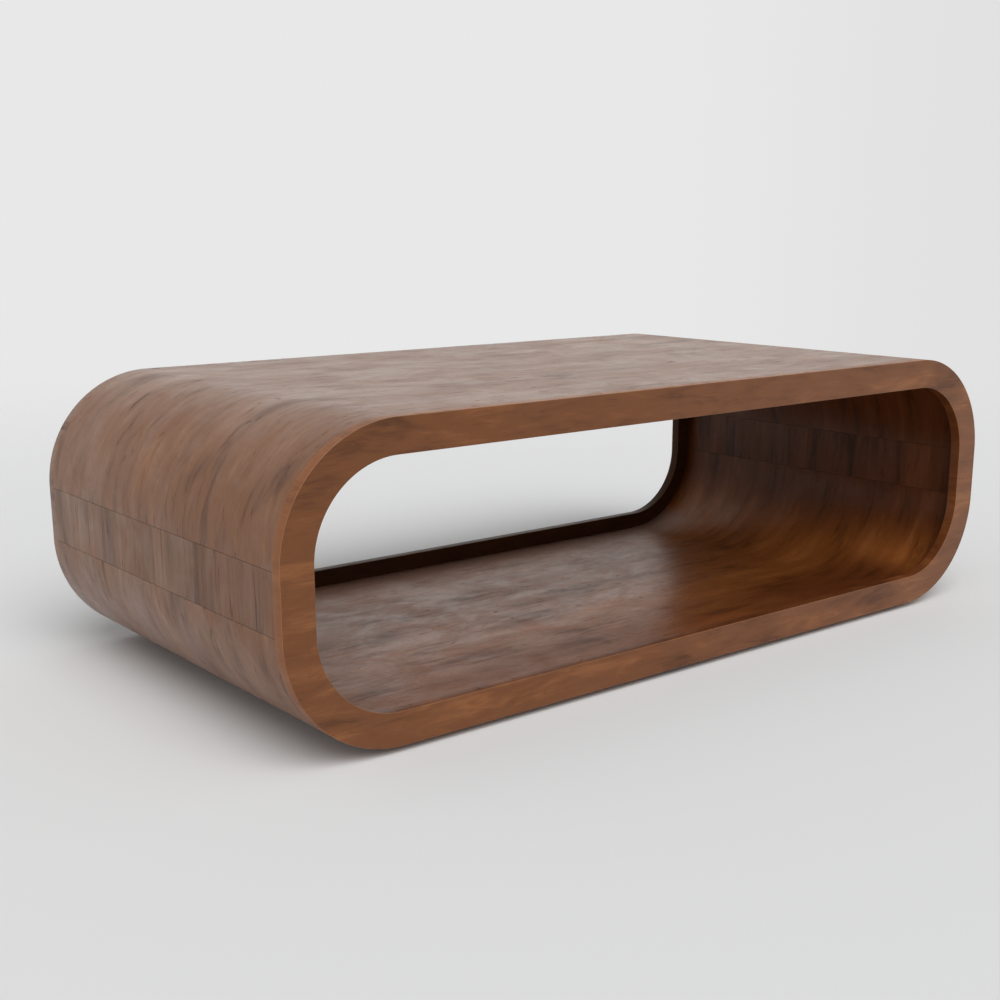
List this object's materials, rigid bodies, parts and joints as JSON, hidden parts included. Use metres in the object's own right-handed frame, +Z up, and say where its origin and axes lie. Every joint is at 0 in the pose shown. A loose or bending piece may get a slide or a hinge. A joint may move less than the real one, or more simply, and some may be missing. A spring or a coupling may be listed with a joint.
{
  "type": "coffee table",
  "caption": "Low walnut-veneered coffee table shaped as a flat rounded loop, open front to back, with a flat frame on each face.",
  "frame": {"origin": "on the floor, at the middle of the table's length and depth", "axes": "+X along the table, to the right seen from the front; +Y to the back; +Z up"},
  "size_m": [1.2, 0.6, 0.36],
  "materials": {
    "loop_veneer": "walnut veneer, satin varnish, grain along the loop",
    "frame_veneer": "walnut veneer, satin varnish, grain along the length",
    "frame_lipping": "walnut strip, satin varnish",
    "core_plywood": "raw plywood, hidden",
    "joint_hardwood": "raw beech, hidden"
  },
  "bodies": {
    "root": {"top_core": "core_plywood", "top_outer_veneer": "loop_veneer", "top_inner_veneer": "loop_veneer", "base_core": "core_plywood", "base_outer_veneer": "loop_veneer", "base_inner_veneer": "loop_veneer", "left_side_core": "core_plywood", "left_side_outer_veneer": "loop_veneer", "left_side_inner_veneer": "loop_veneer", "right_side_core": "core_plywood", "right_side_outer_veneer": "loop_veneer", "right_side_inner_veneer": "loop_veneer", "upper_left_spline": "joint_hardwood", "upper_right_spline": "joint_hardwood", "lower_left_spline": "joint_hardwood", "lower_right_spline": "joint_hardwood", "front_frame_core": "core_plywood", "front_face_veneer": "frame_veneer", "front_backing_veneer": "frame_veneer", "front_outer_lipping": "frame_lipping", "front_inner_lipping": "frame_lipping", "front_top_tongue": "joint_hardwood", "front_base_tongue": "joint_hardwood", "front_left_tongue": "joint_hardwood", "front_right_tongue": "joint_hardwood", "back_frame_core": "core_plywood", "back_face_veneer": "frame_veneer", "back_backing_veneer": "frame_veneer", "back_outer_lipping": "frame_lipping", "back_inner_lipping": "frame_lipping", "back_top_tongue": "joint_hardwood", "back_base_tongue": "joint_hardwood", "back_left_tongue": "joint_hardwood", "back_right_tongue": "joint_hardwood"}
  },
  "joints": []
}
